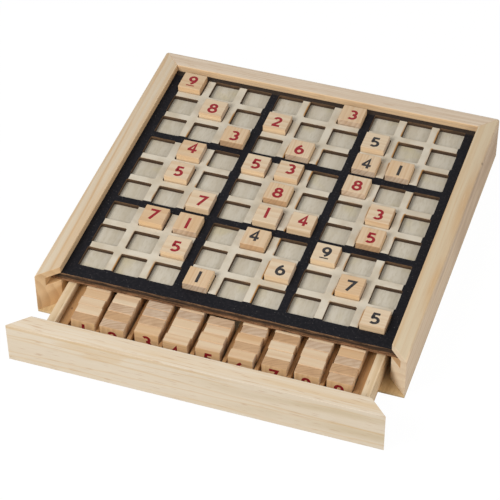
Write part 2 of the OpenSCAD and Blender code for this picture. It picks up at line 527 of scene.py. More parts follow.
@dataclass(frozen=True)
class Groups:
    """The shader node groups that the finishes share."""

    grain: bpy.types.NodeTree
    specks: bpy.types.NodeTree

    def wood(
        self, bench: Bench, grain: Socket, pith: Any, ring_width: Any, wander: float
    ) -> dict[str, Socket]:
        """Places the wood in a material.

        Args:
            bench: The material's bench.
            grain: Place in the wood.
            pith: A place on the line that the rings lie round.
            ring_width: Width of a ring in metres.
            wander: How far the rings stray along the piece, in metres.

        Returns:
            Rings, Fibre, Tone and Dashes.
        """
        values = {"Grain": grain, "Pith": pith, "Ring Width": ring_width, "Wander": wander}
        return bench.group(self.grain, values)

    def marks(self, bench: Bench, place: Socket, per_metre: float, share: float) -> dict[str, Socket]:
        """Places specks and clouds in a material.

        Args:
            bench: The material's bench.
            place: Place on the piece.
            per_metre: How many specks there are to a metre, about.
            share: How much of the surface they take up, about.

        Returns:
            Specks and Cloud.
        """
        return bench.group(self.specks, {"Place": place, "Specks per Metre": per_metre, "Share": share})


def close_material(
    bench: Bench, colour: Any, roughness: Any, height: Socket | None, depth: float, gloss: float = 0.3
) -> None:
    """Ends a material in a Principled BSDF.

    Args:
        bench: The material's bench.
        colour: Base colour.
        roughness: Roughness.
        height: Height of the bumps from 0 to 1, or None for a smooth surface.
        depth: Depth of the bumps in metres.
        gloss: Strength of the reflections.
    """
    sockets = {"Base Color": colour, "Roughness": roughness, "Specular IOR Level": gloss}
    if height is not None:
        bump = bench.add("ShaderNodeBump", {"Strength": 1.0, "Distance": depth, "Height": height})
        sockets["Normal"] = bump.outputs[0]
    shader = bench.add("ShaderNodeBsdfPrincipled", sockets)
    bench.add("ShaderNodeOutputMaterial", {"Surface": shader.outputs[0]})


@dataclass(frozen=True)
class Finish:
    """A named finish, which dresses an empty shader tree."""

    name: str

    def dress(self, bench: Bench, groups: Groups) -> None:
        """Each finish mixes its own shader."""
        raise NotImplementedError

    def material(self, groups: Groups) -> bpy.types.Material:
        """Makes the material.

        Args:
            groups: The shared node groups.

        Returns:
            The material.
        """
        material = bpy.data.materials.new(self.name)
        material.use_nodes = True
        self.dress(Bench(material.node_tree), groups)
        return material


@dataclass(frozen=True)
class Band:
    """A darker streak that drifts across a length of moulding as it runs along it. Most stand for darker
    wood; one broad band on the right rail's outer face is painted shade.

    across counts from the outer top edge: over the top where it is positive, and down the outer face
    where it is negative. The streak fades in at start and out at end, both along the length.
    """

    across: float
    drift: float
    width: float
    share: float
    start: float = -1.0
    end: float = 1.0
    colour: Colour | None = None
    sway: float = 1.6 * MM
    fade: float = 30 * MM


@dataclass(frozen=True)
class WoodFinish(Finish):
    """Bare wood with rings, fibres, broad tones, streaks of amber, end grain and worn edges.

    inner and outer are the colours of the faces at the far and the near side of the section, and the
    fades are the depths between which each of them gives way to the wood. groove is the colour inside
    a groove, and a knot is a place in the wood with a radius.
    """

    pale: Colour
    streak: Colour
    grey: Colour
    end: Colour
    end_ring: Colour
    ring_width: float
    pith: Triple
    seed: float = 0.0
    bands: tuple[Band, ...] = ()
    inner: Colour | None = None
    outer: Colour | None = None
    groove: Colour = paint(204, 160, 106)
    knots: tuple[tuple[float, float, float, float], ...] = ()
    knot: Colour = paint(104, 72, 46)
    width: float = 15 * MM
    height: float = 35.7 * MM
    wander: float = 4 * MM
    streak_share: float = 0.55
    grey_share: float = 0.5
    fibre_share: float = 0.16
    dash_share: float = 0.35
    edge_share: float = 0.2
    end_share: float = 0.9
    face_share: float = 0.85
    inner_fade: Pair = (0.8 * MM, 0.1 * MM)
    outer_fade: Pair = (0.2 * MM, 1.4 * MM)
    knot_share: float = 0.75
    knot_core: float = 0.2
    knot_stretch: float = 0.7
    roughness: float = 0.62
    rough_spread: float = 0.2
    bump: float = 0.05 * MM

    def amber(self, bench: Bench, grain: Socket, band: Band) -> Socket:
        """Finds how much of an amber streak shows.

        The streak's middle lies at across + drift * along on the surface laid flat, where a place counts
        as its distance across plus its height over the top. A slow noise makes the streak sway and break
        off, and it fades out over its width.

        Args:
            bench: The material's bench.
            grain: Place in the wood.
            band: The streak.

        Returns:
            The share from 0 to 1.
        """
        along, across, rise = bench.parts(bench.vector("SUBTRACT", grain, (self.seed, 0.0, self.height)))
        slow = bench.streaks(grain, (14.0, 60.0, 60.0))
        middle = bench.math("MULTIPLY_ADD", along, band.drift, band.across)
        middle = bench.math("ADD", middle, bench.math("MULTIPLY_ADD", slow, 2 * band.sway, -band.sway))
        off = bench.math("ABSOLUTE", bench.math("SUBTRACT", bench.math("ADD", across, rise), middle))
        streak = bench.step(off, 0.0, band.width, band.share, 0.0)
        begins = bench.step(along, band.start - band.fade, band.start + band.fade)
        ends = bench.step(along, band.end - band.fade, band.end + band.fade, 1.0, 0.0)
        streak = bench.math("MULTIPLY", streak, bench.math("MULTIPLY", begins, ends))
        return bench.math("MULTIPLY", streak, bench.step(slow, 0.3, 0.6, 0.35, 1.0))

    def faces(self, bench: Bench, grain: Socket, colour: Socket) -> Socket:
        """Tints the two upright faces of a length of moulding.

        Args:
            bench: The material's bench.
            grain: Place in the wood.
            colour: Colour so far.

        Returns:
            The tinted colour.
        """
        _, across, _ = bench.parts(grain)
        if self.inner is not None:
            low, high = (self.width - depth for depth in self.inner_fade)
            share = bench.step(across, low, high, 0.0, self.face_share)
            colour = bench.mix(share, colour, self.inner)
        if self.outer is not None:
            share = bench.step(across, *self.outer_fade, self.face_share, 0.0)
            colour = bench.mix(share, colour, self.outer)
        return colour

    def knotted(self, bench: Bench, grain: Socket, colour: Socket) -> Socket:
        """Darkens the wood round each knot, most at its middle.

        Args:
            bench: The material's bench.
            grain: Place in the wood.
            colour: Colour so far.

        Returns:
            The colour with the knots.
        """
        for along, across, up, radius in self.knots:
            away = bench.vector("SUBTRACT", grain, (self.seed + along, across, up))
            away = bench.vector("MULTIPLY", away, (self.knot_stretch, 1.0, 1.0))
            dark = bench.step(bench.length(away), self.knot_core * radius, radius, self.knot_share, 0.0)
            colour = bench.mix(dark, colour, self.knot)
        return colour

    def dress(self, bench: Bench, groups: Groups) -> None:
        """Mixes the shader from the mesh's grain and trim.

        Args:
            bench: The material's bench.
            groups: The shared node groups.
        """
        grain = bench.attribute("grain")
        wood = groups.wood(bench, grain, self.pith, self.ring_width, self.wander)
        edge, end, groove = bench.parts(bench.attribute("trim"))
        clouds = bench.step(wood["Tone"], 0.4, 0.65)
        colour = bench.tinted(self.pale, self.grey, clouds, self.grey_share)
        colour = self.faces(bench, grain, colour)
        colour = bench.tinted(colour, self.streak, wood["Rings"], self.streak_share)
        for band in self.bands:
            colour = bench.mix(self.amber(bench, grain, band), colour, band.colour or self.streak)
        colour = bench.mix(groove, colour, self.groove)
        colour = self.knotted(bench, grain, colour)
        ends = bench.mix(wood["Rings"], self.end, self.end_ring)
        colour = bench.tinted(colour, ends, end, self.end_share)
        dark = bench.math("MULTIPLY", bench.step(wood["Fibre"], 0.45, 0.75), self.fibre_share)
        colour = bench.mix(dark, colour, self.streak, "MULTIPLY")
        colour = bench.tinted(colour, self.end_ring, wood["Dashes"], self.dash_share)
        colour = bench.tinted(colour, self.end, edge, self.edge_share)
        least = self.roughness - self.rough_spread / 2
        rough = bench.math("MULTIPLY_ADD", wood["Fibre"], self.rough_spread, least)
        close_material(bench, colour, rough, wood["Fibre"], self.bump)


@dataclass(frozen=True)
class TileFinish(Finish):
    """Sanded tile wood, whose tone each tile's lot sets.

    A tile's seed moves it along the tree, a little across it too, and picks the width of its rings.
    """

    pale: Colour = paint(224, 203, 174)
    amber: Colour = paint(212, 172, 126)
    streak: Colour = paint(200, 156, 112)
    # Painted warm light: the narrow sides and the stored tiles' fronts take this brighter, warmer colour
    side: Colour = paint(243, 206, 156)
    end_tan: Colour = paint(196, 158, 118)
    end_grey: Colour = paint(208, 187, 164)
    end_dark: Colour = paint(164, 128, 98)
    edge: Colour = paint(186, 146, 104)
    ring_width: float = 1.7 * MM
    ring_spread: float = 2.6 * MM
    wander: float = 5 * MM
    pith: Triple = (0.0, 0.021, -0.034)
    seed_aside: float = 0.0137
    seed_turns: float = 5.7
    tone_spread: float = 0.7
    ring_share: float = 0.44
    end_share: float = 0.9
    end_tone_share: float = 0.42
    end_ring_share: float = 0.58
    fibre_share: float = 0.16
    edge_share: float = 0.2
    roughness: float = 0.6
    bump: float = 0.04 * MM

    def dress(self, bench: Bench, groups: Groups) -> None:
        """Mixes the shader from the mesh's grain, lot and trim.

        Args:
            bench: The material's bench.
            groups: The shared node groups.
        """
        tone, grey, seed = bench.parts(bench.attribute("lot"))
        aside = bench.math("MULTIPLY", seed, self.seed_aside)
        shift = bench.add("ShaderNodeCombineXYZ", {0: seed, 1: aside, 2: 0.0}).outputs[0]
        place = bench.vector("ADD", bench.attribute("grain"), shift)
        pith = bench.vector("ADD", shift, self.pith)
        luck = bench.math("FRACT", bench.math("MULTIPLY", seed, self.seed_turns))
        width = bench.math("MULTIPLY_ADD", luck, self.ring_spread, self.ring_width)
        wood = groups.wood(bench, place, pith, width, self.wander)
        edge, end, side = bench.parts(bench.attribute("trim"))
        spread = bench.math("MULTIPLY_ADD", wood["Tone"], self.tone_spread, -self.tone_spread / 2)
        broad = bench.math("ADD", tone, spread)
        colour = bench.mix(bench.step(broad, 0.0, 1.0), self.pale, self.amber)
        # Painted warm light on the faces that the trim's third mask marks
        colour = bench.mix(side, colour, self.side)
        colour = bench.tinted(colour, self.streak, wood["Rings"], self.ring_share)
        ends = bench.mix(bench.step(grey, 0.2, 0.8), self.end_tan, self.end_grey)
        shaded = bench.step(wood["Tone"], 0.4, 0.75, 0.0, self.end_tone_share)
        ends = bench.mix(shaded, ends, self.end_dark)
        ends = bench.tinted(ends, self.end_dark, wood["Rings"], self.end_ring_share)
        colour = bench.tinted(colour, ends, end, self.end_share)
        dark = bench.math("MULTIPLY", bench.step(wood["Fibre"], 0.45, 0.8), self.fibre_share)
        colour = bench.mix(dark, colour, self.streak, "MULTIPLY")
        colour = bench.tinted(colour, self.edge, edge, self.edge_share)
        close_material(bench, colour, self.roughness, wood["Fibre"], self.bump)


@dataclass(frozen=True)
class InkFinish(Finish):
    """Number ink that lets a little of the wood's fibres through."""

    full: Colour
    worn: Colour
    worn_share: float = 0.4
    specks_per_metre: float = 900.0
    speck_share: float = 0.22
    roughness: float = 0.55

    def dress(self, bench: Bench, groups: Groups) -> None:
        """Mixes the shader.

        Args:
            bench: The material's bench.
            groups: The shared node groups.
        """
        marks = groups.marks(bench, bench.place(), self.specks_per_metre, self.speck_share)
        colour = bench.tinted(self.full, self.worn, marks["Specks"], self.worn_share)
        close_material(bench, colour, self.roughness, None, 0.0)


@dataclass(frozen=True)
class PrintFinish(Finish):
    """Top of the grid sheet: black round each block of cells, pale wood inside, scorched at the cuts."""

    centre: Pair
    block_half: float
    block_pitch: float
    pale: Colour = paint(221, 212, 195)
    pale_shade: Colour = paint(205, 193, 172)
    black: Colour = paint(16, 16, 21)
    black_shade: Colour = paint(29, 27, 31)
    worn: Colour = paint(128, 124, 122)
    # A lighter brown that tints the black border behind the back row of blocks
    back_strip_tint: Colour = paint(118, 100, 82)
    back_strip_share: float = 0.17
    scorch: Colour = paint(178, 128, 66)
    pith: Triple = (0.0, 0.03, -0.4)
    ring_width: float = 9 * MM
    wander: float = 20 * MM
    ring_share: float = 0.25
    worn_share: float = 0.42
    specks_per_metre: float = 900.0
    speck_share: float = 0.085
    roughness: float = 0.7
    bump: float = 0.04 * MM
    gloss: float = 0.12

    def inside(self, bench: Bench, value: Socket) -> Socket:
        """Finds whether one coordinate lies within a block.

        The coordinate's distance from the nearest of the three block centres is
        min(|v|, ||v| - pitch|), and it is inside where that is under half a block's width.

        Args:
            bench: The material's bench.
            value: The coordinate from the sheet's centre, in metres.

        Returns:
            1 inside and 0 outside.
        """
        size = bench.math("ABSOLUTE", value)
        outer = bench.math("ABSOLUTE", bench.math("SUBTRACT", size, self.block_pitch))
        return bench.math("LESS_THAN", bench.math("MINIMUM", size, outer), self.block_half)

    def dress(self, bench: Bench, groups: Groups) -> None:
        """Mixes the shader from Object coordinates and the mesh's grain and trim.

        Args:
            bench: The material's bench.
            groups: The shared node groups.
        """
        place = bench.place()
        across, deep, _ = bench.parts(bench.vector("SUBTRACT", place, (*self.centre, 0.0)))
        pale_part = bench.math("MULTIPLY", self.inside(bench, across), self.inside(bench, deep))
        wood = groups.wood(bench, bench.attribute("grain"), self.pith, self.ring_width, self.wander)
        marks = groups.marks(bench, place, self.specks_per_metre, self.speck_share)
        _, _, rim = bench.parts(bench.attribute("trim"))
        pale = bench.mix(bench.step(marks["Cloud"], 0.35, 0.7), self.pale, self.pale_shade)
        pale = bench.tinted(pale, self.pale_shade, wood["Rings"], self.ring_share)
        patches = bench.step(bench.noise(place, 32.0, 1.0), 0.46, 0.6, 0.06, 1.0)
        scorched = bench.math("MULTIPLY", bench.step(rim, 0.0, 0.8), patches)
        pale = bench.mix(scorched, pale, self.scorch)
        mottled = bench.step(bench.noise(place, 420.0, 3.0), 0.42, 0.72)
        black = bench.mix(mottled, self.black, self.black_shade)
        black = bench.tinted(black, self.worn, marks["Specks"], self.worn_share)
        # The black border's strip behind the back row of blocks turns a lighter brown
        back_edge = self.block_pitch + self.block_half
        dust = bench.step(deep, back_edge - MM, back_edge + MM, 0.0, self.back_strip_share)
        black = bench.mix(dust, black, self.back_strip_tint)
        colour = bench.mix(pale_part, black, pale)
        close_material(bench, colour, self.roughness, wood["Fibre"], self.bump, self.gloss)


@dataclass(frozen=True)
class CutEdgeFinish(Finish):
    """Edge that was cut with heat: one tone along its top and another below, in uneven dark layers."""

    upper: Colour
    lower: Colour
    shade: Colour
    top: float
    fade: float
    layer_share: float = 0.6
    worn_share: float = 0.5
    specks_per_metre: float = 700.0
    speck_share: float = 0.2
    roughness: float = 0.75
    bump: float = 0.08 * MM
    gloss: float = 0.12

    def dress(self, bench: Bench, groups: Groups) -> None:
        """Mixes the shader from Object coordinates.

        Args:
            bench: The material's bench.
            groups: The shared node groups.
        """
        place = bench.place()
        marks = groups.marks(bench, place, self.specks_per_metre, self.speck_share)
        _, _, height = bench.parts(place)
        uneven = bench.math("MULTIPLY_ADD", marks["Cloud"], 2 * self.fade, -self.fade)
        depth = bench.math("SUBTRACT", self.top, bench.math("ADD", height, uneven))
        # One tone above and one below; on the sheets' own edges the dark tone by their joint is painted
        # shade
        colour = bench.mix(bench.step(depth, 0.0, self.fade), self.upper, self.lower)
        layers = bench.streaks(place, (70.0, 70.0, 900.0))
        colour = bench.mix(bench.step(layers, 0.45, 0.65, 0.0, self.layer_share), colour, self.shade)
        colour = bench.tinted(colour, self.shade, marks["Specks"], self.worn_share)
        close_material(bench, colour, self.roughness, marks["Cloud"], self.bump, self.gloss)


@dataclass(frozen=True)
class SheetFinish(Finish):
    """Plain pale sheet with a faint grain, a little dust and, where it has a stain, blotches of it."""

    base: Colour
    shade: Colour
    tint: Colour
    stain: Colour | None = None
    pith: Triple = (0.0, 0.02, -0.3)
    ring_width: float = 12 * MM
    wander: float = 30 * MM
    ring_share: float = 0.3
    stain_share: float = 0.5
    thread_share: float = 0.45
    dust_share: float = 0.35
    specks_per_metre: float = 800.0
    speck_share: float = 0.06
    roughness: float = 0.65
    bump: float = 0.04 * MM

    def dress(self, bench: Bench, groups: Groups) -> None:
        """Mixes the shader from Object coordinates and the mesh's grain.

        Args:
            bench: The material's bench.
            groups: The shared node groups.
        """
        place = bench.place()
        grain = bench.attribute("grain")
        wood = groups.wood(bench, grain, self.pith, self.ring_width, self.wander)
        marks = groups.marks(bench, place, self.specks_per_metre, self.speck_share)
        colour = bench.mix(bench.step(wood["Tone"], 0.35, 0.7), self.base, self.shade)
        colour = bench.tinted(colour, self.tint, wood["Rings"], self.ring_share)
        if self.stain is not None:
            blotches = bench.step(bench.noise(place, 38.0, 3.0), 0.52, 0.72, 0.0, self.stain_share)
            colour = bench.mix(blotches, colour, self.stain)
        threads = bench.streaks(grain, (190.0, 760.0, 760.0), 3.0)
        colour = bench.mix(bench.step(threads, 0.42, 0.7, 0.0, self.thread_share), colour, self.tint)
        colour = bench.tinted(colour, self.tint, marks["Specks"], self.dust_share)
        close_material(bench, colour, self.roughness, wood["Fibre"], self.bump)


# Numbers


@dataclass(frozen=True)
class Numerals:
    """Printed numbers, drawn as strokes of even width about the middle of a tile's face."""

    height: float = 11.6 * MM
    stroke: float = 2.35 * MM
    underline: float = 1.1 * MM
    narrow: float = 0.93
    thickness: float = 0.03 * MM
    thicker: float = 0.3
    arc_points: int = 15

    def arc(self, centre: Pair, radii: Pair, start: float, end: float) -> Array:
        """Points on an ellipse's arc, in shares of the number's height.

        Args:
            centre: Middle of the ellipse.
            radii: Its half width and half height.
            start: First angle in degrees, from the right and anticlockwise.
            end: Last angle.

        Returns:
            The points, (n, 2).
        """
        angle = np.radians(np.linspace(start, end, self.arc_points))
        return np.array(centre) + np.stack([np.cos(angle), np.sin(angle)], axis=1) * radii

    @staticmethod
    def route(*points: Pair) -> Array:
        """Straight legs through these points."""
        return np.array(points, float)

    def strokes(self, digit: int) -> list[Array]:
        """The middle lines of a number's strokes, in shares of its height with its middle at 0.

        Args:
            digit: The number, 1 to 9.

        Returns:
            One array of points for each stroke.
        """
        bowl = self.arc((0.0, 0.17), (0.26, 0.255), 0, 360)
        tail = self.arc((-0.24, 0.17), (0.50, 0.62), 0, -70)
        small, rise = 0.94, np.array([0.0, 0.06])
        drawn = {
            1: [self.route((0.0, -0.53), (0.0, 0.53))],
            2: [
                np.concatenate([
                    self.arc((0.0, 0.19), (0.235, 0.235), 165, -38),
                    self.route((-0.25, -0.42)),
                ]),
                self.route((-0.30, -0.425), (0.30, -0.425)),
            ],
            3: [
                self.arc((-0.03, 0.205), (0.235, 0.215), 140, -90),
                self.arc((-0.03, -0.205), (0.28, 0.22), 90, -140),
            ],
            4: [
                self.route((0.10, -0.5), (0.10, 0.46), (-0.31, -0.19)),
                self.route((-0.36, -0.19), (0.33, -0.19)),
            ],
            5: [
                np.concatenate([
                    self.route((0.26, 0.425), (-0.14, 0.425), (-0.19, 0.06)),
                    self.arc((-0.01, -0.17), (0.28, 0.25), 125, -138),
                ]),
            ],
            7: [self.route((-0.31, 0.425), (0.27, 0.425), (-0.14, -0.5))],
            8: [
                self.arc((0.0, 0.225), (0.22, 0.20), 0, 360),
                self.arc((0.0, -0.19), (0.275, 0.235), 0, 360),
            ],
            9: [bowl * small + rise, tail * small + rise, self.route((-0.34, -0.53), (0.30, -0.53))],
        }
        drawn[6] = [-bowl, -tail]
        return drawn[digit]

    def ribbon(self, path: Array, lift: float, width: float) -> Surface:
        """A flat ribbon along a path in the plane of the face.

        Its edges lie half a stroke to each side of the path, along the path's normal, and at a bend
        further out by one over the cosine of half the bend, so that the stroke keeps its width.

        Args:
            path: Points in metres, (n, 2), closed where the last meets the first.
            lift: Thickness of this ribbon.
            width: Width of the stroke.

        Returns:
            The closed ribbon, with its underside at height 0.
        """
        closed = bool(np.allclose(path[0], path[-1]))
        points = path[:-1] if closed else path
        legs = np.diff(path, axis=0)
        legs /= np.linalg.norm(legs, axis=1, keepdims=True)
        before = np.roll(legs, 1, axis=0) if closed else np.concatenate([legs[:1], legs])
        after = legs if closed else np.concatenate([legs, legs[-1:]])
        along = before + after
        along /= np.linalg.norm(along, axis=1, keepdims=True)
        spread = width / 2 / np.clip(np.sum(along * after, axis=1), 0.5, 1.0)
        normal = np.stack([-along[:, 1], along[:, 0]], axis=1) * spread[:, None]
        left, right = points + normal, points - normal
        section = [(left, lift), (right, lift), (right, 0.0), (left, 0.0)]
        rows = [np.column_stack([xy, np.full(len(xy), z)]) for xy, z in section]
        ring = np.stack(rows, axis=1).reshape(-1, 3)
        quads = quad_grid(len(points), 4, loop=True)
        last = (len(points) - 1) * 4
        if closed:
            seam = quad_grid(2, 4, loop=True)
            quads = np.concatenate([quads, np.where(seam >= 4, seam - 4, seam + last)])
        else:
            quads = np.concatenate([quads, [[3, 2, 1, 0]], [[last, last + 1, last + 2, last + 3]]])
        quads, _ = outward(ring, quads, [])
        blank = np.zeros_like(ring)
        return Surface(ring, quads, blank, blank, np.zeros(len(quads)), np.ones(len(quads)))

    def surfaces(self, digit: int) -> list[Surface]:
        """A number's ribbons, each a little thicker than the last, so that no two share a plane."""
        paths = [path * [self.height * self.narrow, self.height] for path in self.strokes(digit)]
        widths = [self.stroke, self.stroke, self.underline]
        lifts = [self.thickness * (1 + self.thicker * i) for i in range(len(paths))]
        return [self.ribbon(*parts) for parts in zip(paths, lifts, widths)]


# Sub-assemblies


@dataclass
class Moulding:
    """The grooved pine moulding that makes the three rails and the drawer's front.

    The fields that end in edge are radii. arc_step is longer than any step of their arcs, and shorter
    than the straight sides of the section.
    """

    half: float
    width: float
    ledge: float
    groove_top: float
    height: float
    groove: float
    foot: float = 0.0
    corner: float = 2.0 * MM
    top_edge: float = 1.6 * MM
    lip_edge: float = 0.8 * MM
    foot_edge: float = 0.6 * MM
    soft_edge: float = 0.4 * MM
    groove_edge: float = 0.15 * MM
    arris: float = 0.25 * MM
    arc_step: float = 1.25 * MM
    steps: int = 5
    stations: int = 17

    def profile(self) -> Array:
        """The section's outline: across from the outer face, and up from the underside."""
        w, g = self.width, self.width - self.groove
        corners = [(0, self.foot), (w, self.foot), (w, self.ledge), (g, self.ledge)]
        corners += [(g, self.groove_top), (w, self.groove_top), (w, self.height), (0, self.height)]
        soft, tight = self.soft_edge, self.groove_edge
        radii = [self.foot_edge, soft, soft, tight, tight, soft, self.lip_edge, self.top_edge]
        return rounded_outline(np.array(corners), np.array(radii), self.steps)

    def in_groove(self, profile: Array) -> Array:
        """Marks the points of the section that lie inside the groove with 1, and the others with 0."""
        across, up = profile.T
        level = (up > self.ledge - self.arris) & (up < self.groove_top + self.arris)
        return (level & (across > self.arris) & (across < self.width - self.arris)) * 1.0

    def tip(self, radius: float) -> tuple[Array, Array]:
        """The plan at one end, from the straight part to the mitre.

        The outer line turns through an eighth of a circle of the corner's radius, and the inner line
        runs on to the inner corner.

        Args:
            radius: Radius of the outer corner, or 0 for a sharp one.

        Returns:
            Points of the outer line and of the inner line, as distance across and along.
        """
        angle = np.linspace(0, np.pi / 4, self.steps)
        across = radius * (1 - np.cos(angle))
        along = self.half - radius * (1 - np.sin(angle))
        outer = np.stack([across, along], axis=1)
        share = np.linspace(0, 1, self.steps)
        inner_end = self.half - self.width
        inner = np.stack([np.full(self.steps, self.width), inner_end - radius * (1 - share)], axis=1)
        if radius == 0:
            return outer[-1:], inner[-1:]
        return outer, inner

    def plan_line(self, near: Array, far: Array) -> Array:
        """Joins a plan line's two ends by even stations, and adds one an arris from each end.

        Args:
            near: Points at the low end.
            far: Points at the high end.

        Returns:
            Points of the whole line, as distance across and along.
        """
        run = np.linspace(0, 1, self.stations)[1:-1, None]
        line = np.concatenate([near, near[-1] + (far[0] - near[-1]) * run, far])
        pull = np.array([0.0, self.arris])
        return np.concatenate([line[:1], line[:1] + pull, line[1:-1], line[-1:] - pull, line[-1:]])

    def surface(self, near_radius: float, far_radius: float, seed: float) -> Surface:
        """One length of the moulding, mitred at both ends.

        Each station is a line from the outer plan line to the inner one, and the section's across
        coordinate is the share of the way along it. The last stations draw the section in by the
        arris, which eases the mitre's edges.

        Args:
            near_radius: Corner radius at the low end.
            far_radius: Corner radius at the high end.
            seed: Where in the tree this length was cut, in metres.

        Returns:
            The closed surface, with points as across, along and up.
        """
        tips = zip(self.tip(near_radius), self.tip(far_radius))
        outer, inner = (self.plan_line(near[::-1] * [1, -1], far) for near, far in tips)
        profile = self.profile()
        sections = np.repeat(profile[None], len(outer), axis=0)
        sections[[0, -1]] = drawn_in(profile, self.arris)
        share = sections[:, :, :1] / self.width
        plan = outer[:, None] + (inner - outer)[:, None] * share
        points = np.concatenate([plan, sections[:, :, 1:]], axis=2).reshape(-1, 3)
        count = len(profile)
        quads = quad_grid(len(outer), count, loop=True)
        quads, caps = outward(points, quads, end_caps(count, len(points)))
        end = np.zeros((len(outer), count))
        end[[0, -1]] = 1
        short = np.linalg.norm(np.roll(profile, -1, axis=0) - profile, axis=1) < self.arc_step
        eased = np.tile((short | np.roll(short, 1)) * 1.0, len(outer))
        groove = np.tile(self.in_groove(profile), len(outer))
        trim = np.stack([eased, end.ravel(), groove * (1 - end.ravel())], axis=1)
        smooth = np.tile(short, len(outer) - 1)
        grain = points[:, [1, 0, 2]] + [seed, 0, 0]
        return Surface(points, quads, grain, trim, smooth, np.zeros(len(quads)), caps)


@dataclass
class Workshop:
    """What all sub-assemblies share: the node groups and the materials by name."""

    groups: Groups
    materials: dict[str, bpy.types.Material] = field(default_factory=dict)

    def add(self, finish: Finish) -> None:
        """Makes a finish's material and keeps it under the finish's name."""
        self.materials[finish.name] = finish.material(self.groups)

    def make(self, name: str, surfaces: list[Surface], *finishes: str) -> bpy.types.Object:
        """Makes one object of surfaces, dressed in the named finishes."""
        return make_object(name, surfaces, [self.materials[finish] for finish in finishes])

    def seat(self, piece: bpy.types.Object, body: str, slot: str, *nodes: str) -> None:
        """Ties a piece to its body, and hides the solids that it stands for.

        Args:
            piece: The finished piece.
            body: The body that it moves with.
            slot: The record's material slot. Not used.
            *nodes: The solids that it replaces.
        """
        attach(piece, body)
        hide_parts(*nodes)
        LOG.info("%s stands for %s on %s", piece.name, ", ".join(nodes), body)


def node_box(name: str) -> tuple[Array, Array]:
    """The lowest and highest corner of a solid, as arrays."""
    low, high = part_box(name)
    return np.array(low), np.array(high)


@dataclass
class Frame:
    """The mitred frame: three rails on a base panel."""

    shop: Workshop
    moulding: Moulding
    panel_ease: float = 0.3 * MM
    panel_corner: float = 0.6 * MM

    def place(self, surface: Surface, side: Side, front: float) -> Surface:
        """Moves a length of moulding to its side of the frame.

        Args:
            surface: Points as across, along and up.
            side: Where it goes.
            front: The outer face's distance from the middle.

        Returns:
            The same surface in place, facing outwards.
        """
        out, base = side.value, node_box("left_rail")[0][2]
        across, along, up = surface.points.T
        depth = front - across
        if out[0]:
            surface.points = np.stack([out[0] * depth, along, up + base], axis=1)
        else:
            surface.points = np.stack([along, out[1] * depth, up + base], axis=1)
        surface.quads, surface.caps = outward(surface.points, surface.quads, surface.caps)
        return surface

    def panel(self) -> Surface:
        """The base panel, with the frame's rounded corners at the back.

        Its outline runs round at four levels, and the lowest and the highest are drawn in by the ease.

        Returns:
            The closed surface, in place.
        """
        low, high = node_box("base_panel")
        ease = self.panel_ease
        corners = np.array([low[:2], [high[0], low[1]], high[:2], [low[0], high[1]]])
        radii = np.array([self.panel_corner] * 2 + [self.moulding.corner] * 2)
        outline = rounded_outline(corners, radii, self.moulding.steps)
        inner = drawn_in(outline, ease)
        levels = [(inner, low[2]), (outline, low[2] + ease), (outline, high[2] - ease), (inner, high[2])]
        points = np.concatenate([np.column_stack([xy, np.full(len(xy), z)]) for xy, z in levels])
        count = len(outline)
        quads = quad_grid(len(levels), count, loop=True)
        quads, caps = outward(points, quads, end_caps(count, len(points)))
        flat = np.zeros(len(quads))
        return Surface(points, quads, points[:, [1, 2, 0]], np.zeros_like(points), flat, flat, caps)

    def build(self) -> None:
        """Builds and dresses the rails and the base panel."""
        half, corner = self.moulding.half, self.moulding.corner
        rails = [
            ("left_rail", Side.LEFT, 0.0, corner),
            ("right_rail", Side.RIGHT, 0.0, corner),
            ("back_rail", Side.BACK, corner, corner),
        ]
        for node, side, near, far in rails:
            surface = self.place(self.moulding.surface(near, far, FRAME_SEEDS[side]), side, half)
            piece = self.shop.make(f"pine_{node}", [surface], f"pine_{side.name.lower()}")
            self.shop.seat(piece, "case", "pine_moulding", node)
        piece = self.shop.make("thin_base_panel", [self.panel()], "base_sheet")
        self.shop.seat(piece, "case", "base_sheet", "base_panel")


